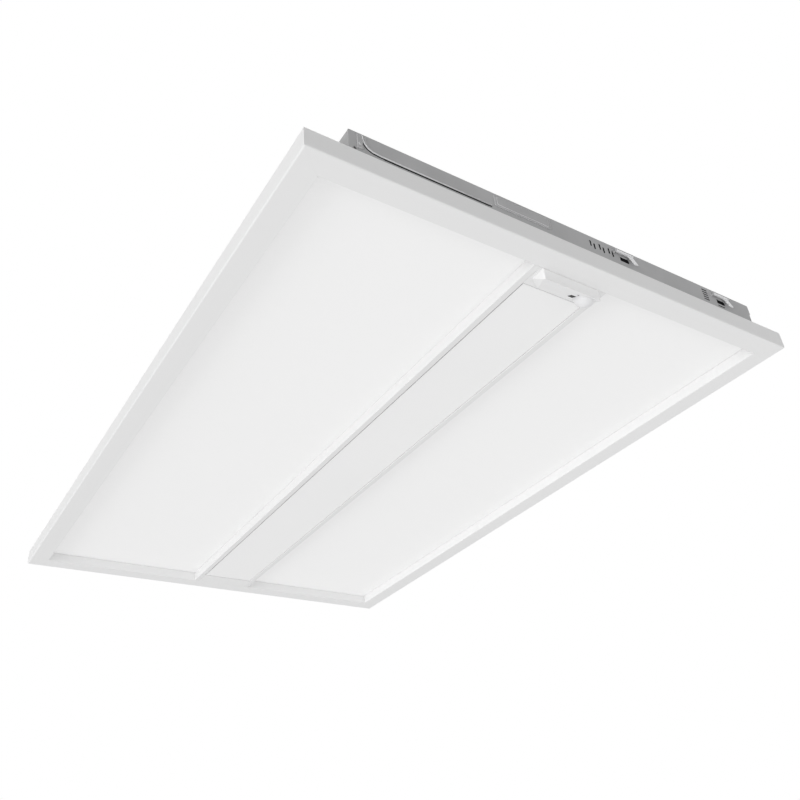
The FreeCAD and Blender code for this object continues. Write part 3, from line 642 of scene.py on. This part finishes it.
def tubeFaces(count, sides):
    # outward faces of a closed tube along a wall path, whose rings run the other way from ringFaces
    faces = []
    for k in range(count - 1):
        for i in range(sides):
            j = (i + 1) % sides
            faces.append((k * sides + j, k * sides + i, (k + 1) * sides + i, (k + 1) * sides + j))
    faces.append(tuple(range(sides)))
    faces.append(tuple(reversed(range((count - 1) * sides, count * sides))))
    return faces


# the wall's rounded bead in bright steel, paler than the grey wall: partly a real bead, partly a painted
# highlight along it
def wallBeadHighlight(end):
    values = wallValues
    path = beadPath()
    sides = values["beadSides"]
    r = values["beadRadius"]
    verts = []
    for (x, z), side in zip(path, pathSides(path)):
        for i in range(sides):
            a = 2 * math.pi * i / sides
            across = r * math.cos(a)
            verts.append((x + side.x * across, values["wallY"] + r * math.sin(a), z + side.y * across))
    faces = tubeFaces(len(path), sides)
    return meshObject("wall_bead_highlight_" + end, toEnd(verts, end), faces, "clip_steel", "fixture")


# a dark strip just under the bead, partly over plain wall: a painted shadow line
def wallPaintedShadow(end):
    values = wallValues
    path = beadPath()
    corners = 4
    front = values["wallY"] - values["shadowDepth"]
    back = values["wallY"] + values["shadowDepth"]
    verts = []
    for (x, z), side in zip(path, pathSides(path)):
        for offset, y in ((-1, front), (1, front), (1, back), (-1, back)):
            reach = offset * values["shadowHalf"] - values["shadowDrop"]
            verts.append((x + side.x * reach, y, z + side.y * reach))
    faces = tubeFaces(len(path), corners)
    return meshObject("wall_painted_shadow_" + end, toEnd(verts, end), faces, "liner_black", "fixture", smooth=False)


for endName in ("near", "far"):
    openingShadePads(endName)
    wallBeadHighlight(endName)
    wallPaintedShadow(endName)
print("stage: end walls finished")

# domed lens of the sensor: fine moulded steps round its own axis, square to the pod's sloped underside
lensDomeValues = {
    "bands": 7, "steps": 48, "rise": 0.0082, "radius": 0.0102, "step": 0.00018, "seat": 0.0014, "tip": 0.0004}
podShape = {"deep": 0.0134, "thin": 0.0008, "long": 0.0246, "domeAlong": 0.0129, "domeX": 0.0252}


def sensorLens():
    values = lensDomeValues
    slope = math.atan2(podShape["deep"] - podShape["thin"], podShape["long"])
    out = Vector((0.0, math.sin(slope), -math.cos(slope)))
    across = Vector((1.0, 0.0, 0.0))
    along = out.cross(across).normalized()
    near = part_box("sensor_pod")[0][1]
    foot = Vector((podShape["domeX"], near, -podShape["deep"]))
    foot += Vector((0.0, math.cos(slope), math.sin(slope))) * podShape["domeAlong"]
    r = values["radius"]
    h = values["rise"]
    bands = values["bands"]
    rings = [(r, -values["seat"]), (r, 0.0)]
    for k in range(bands):
        low = 0.5 * math.pi * k / bands
        high = 0.5 * math.pi * (k + 1) / bands
        rings.append((r * math.cos(low) - values["step"], h * math.sin(low) + values["step"]))
        rings.append((max(r * math.cos(high), values["tip"]), h * math.sin(high)))
    verts = []
    steps = values["steps"]
    for radius, height in rings:
        for i in range(steps):
            a = 2 * math.pi * i / steps
            rim = foot + across * (radius * math.cos(a)) + along * (radius * math.sin(a))
            verts.append(rim + out * height)
    return meshObject("sensor_lens_facets", verts, ringFaces(len(rings), steps), "dome_plastic", "fixture")


lensPiece = sensorLens()
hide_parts("sensor_dome")
print("stage: sensor lens built")

# pale floor well below, white surroundings for camera and reflections, soft main light and top fill
stageValues = {
    "floorZ": -3.0, "floorHalf": 30.0, "floorColour": (0.86, 0.86, 0.86, 1.0), "floorRoughness": 0.9,
    "floorWhite": 0.8, "below": 0.81, "above": 0.15, "blend": 0.25, "ambientColour": (1.0, 1.0, 1.0, 1.0),
    "sunStrength": 1.3, "sunFrom": (-1.4, -0.37, -0.2), "sunAngle": 50.0, "topFill": 0.9,
    "topFrom": (0.3, 0.3, 1.0)}


def buildFloor():
    h = stageValues["floorHalf"]
    z = stageValues["floorZ"]
    mesh = bpy.data.meshes.new("floor")
    mesh.from_pydata([(-h, -h, z), (h, -h, z), (h, h, z), (-h, h, z)], [], [(0, 1, 2, 3)])
    floor = bpy.data.objects.new("floor", mesh)
    bpy.context.scene.collection.objects.link(floor)
    material, tree, shader = newMaterial("floorPale")
    shader.inputs["Base Color"].default_value = stageValues["floorColour"]
    shader.inputs["Roughness"].default_value = stageValues["floorRoughness"]
    path = tree.nodes.new("ShaderNodeLightPath")
    white = tree.nodes.new("ShaderNodeEmission")
    mix = tree.nodes.new("ShaderNodeMixShader")
    seen = tree.nodes.new("ShaderNodeMath")
    seen.operation = "MULTIPLY"
    seen.inputs[1].default_value = stageValues["floorWhite"]
    tree.links.new(path.outputs["Is Camera Ray"], seen.inputs[0])
    tree.links.new(seen.outputs[0], mix.inputs[0])
    tree.links.new(shader.outputs[0], mix.inputs[1])
    tree.links.new(white.outputs[0], mix.inputs[2])
    tree.links.new(mix.outputs[0], tree.nodes["Material Output"].inputs["Surface"])
    mesh.materials.append(material)
    # the main light comes from below, so the floor lets it through
    floor.visible_shadow = False
    floor.visible_diffuse = False


def buildWorld():
    world = bpy.data.worlds.new("surroundings")
    bpy.context.scene.world = world
    world.use_nodes = True
    tree = world.node_tree
    back = tree.nodes["Background"]
    back.inputs["Color"].default_value = stageValues["ambientColour"]
    path = tree.nodes.new("ShaderNodeLightPath")
    anyRay = tree.nodes.new("ShaderNodeMath")
    anyRay.operation = "MAXIMUM"
    tree.links.new(path.outputs["Is Camera Ray"], anyRay.inputs[0])
    tree.links.new(path.outputs["Is Transmission Ray"], anyRay.inputs[1])
    glossy = tree.nodes.new("ShaderNodeMath")
    glossy.operation = "MAXIMUM"
    tree.links.new(anyRay.outputs[0], glossy.inputs[0])
    tree.links.new(path.outputs["Is Glossy Ray"], glossy.inputs[1])
    # what lights the part is brighter from below than from above
    blend = stageValues["blend"]
    place = tree.nodes.new("ShaderNodeTexCoord")
    split = tree.nodes.new("ShaderNodeSeparateXYZ")
    tree.links.new(place.outputs["Generated"], split.inputs[0])
    sky = remap(tree, split.outputs["Z"], stageValues["below"], stageValues["above"], -blend, blend)
    strength = remap(tree, glossy.outputs[0], stageValues["above"], 1.0)
    tree.links.new(sky.outputs["Result"], strength.inputs["To Min"])
    tree.links.new(strength.outputs["Result"], back.inputs["Strength"])


def addSun(name, source, strength, angle):
    light = bpy.data.lights.new(name, "SUN")
    light.energy = strength
    light.angle = math.radians(angle)
    lamp = bpy.data.objects.new(name, light)
    lamp.rotation_euler = Vector(source).to_track_quat("Z", "Y").to_euler()
    bpy.context.scene.collection.objects.link(lamp)


buildFloor()
buildWorld()
addSun("main_light", stageValues["sunFrom"], stageValues["sunStrength"], stageValues["sunAngle"])
addSun("top_fill", stageValues["topFrom"], stageValues["topFill"], stageValues["sunAngle"])
print("stage: floor, surroundings and lights built")

# camera solved from the straight edges of the photograph
cameraValues = {
    "place": (-0.518195, -0.849797, -0.52761), "right": (0.841917, -0.533801, -0.078939),
    "down": (0.232864, 0.491384, -0.839236), "forward": (0.486774, 0.688185, 0.538008),
    "focalPixels": 851.887, "centreX": 395.049, "centreY": 399.373, "imageSide": 800.0, "sensor": 36.0,
    "clipStart": 0.01, "clipEnd": 100.0}


def buildCamera():
    values = cameraValues
    side = values["imageSide"]
    data = bpy.data.cameras.new("camera")
    data.sensor_width = values["sensor"]
    data.lens = values["focalPixels"] / side * values["sensor"]
    data.shift_x = (side / 2 - values["centreX"]) / side
    data.shift_y = (values["centreY"] - side / 2) / side
    data.clip_start = values["clipStart"]
    data.clip_end = values["clipEnd"]
    camera = bpy.data.objects.new("camera", data)
    right = Vector(values["right"])
    up = -Vector(values["down"])
    back = -Vector(values["forward"])
    turn = Matrix((right, up, back)).transposed().to_4x4()
    camera.matrix_world = Matrix.Translation(Vector(values["place"])) @ turn
    bpy.context.scene.collection.objects.link(camera)
    bpy.context.scene.camera = camera


buildCamera()
bpy.context.scene.view_settings.view_transform = "Standard"
print("stage: camera placed")
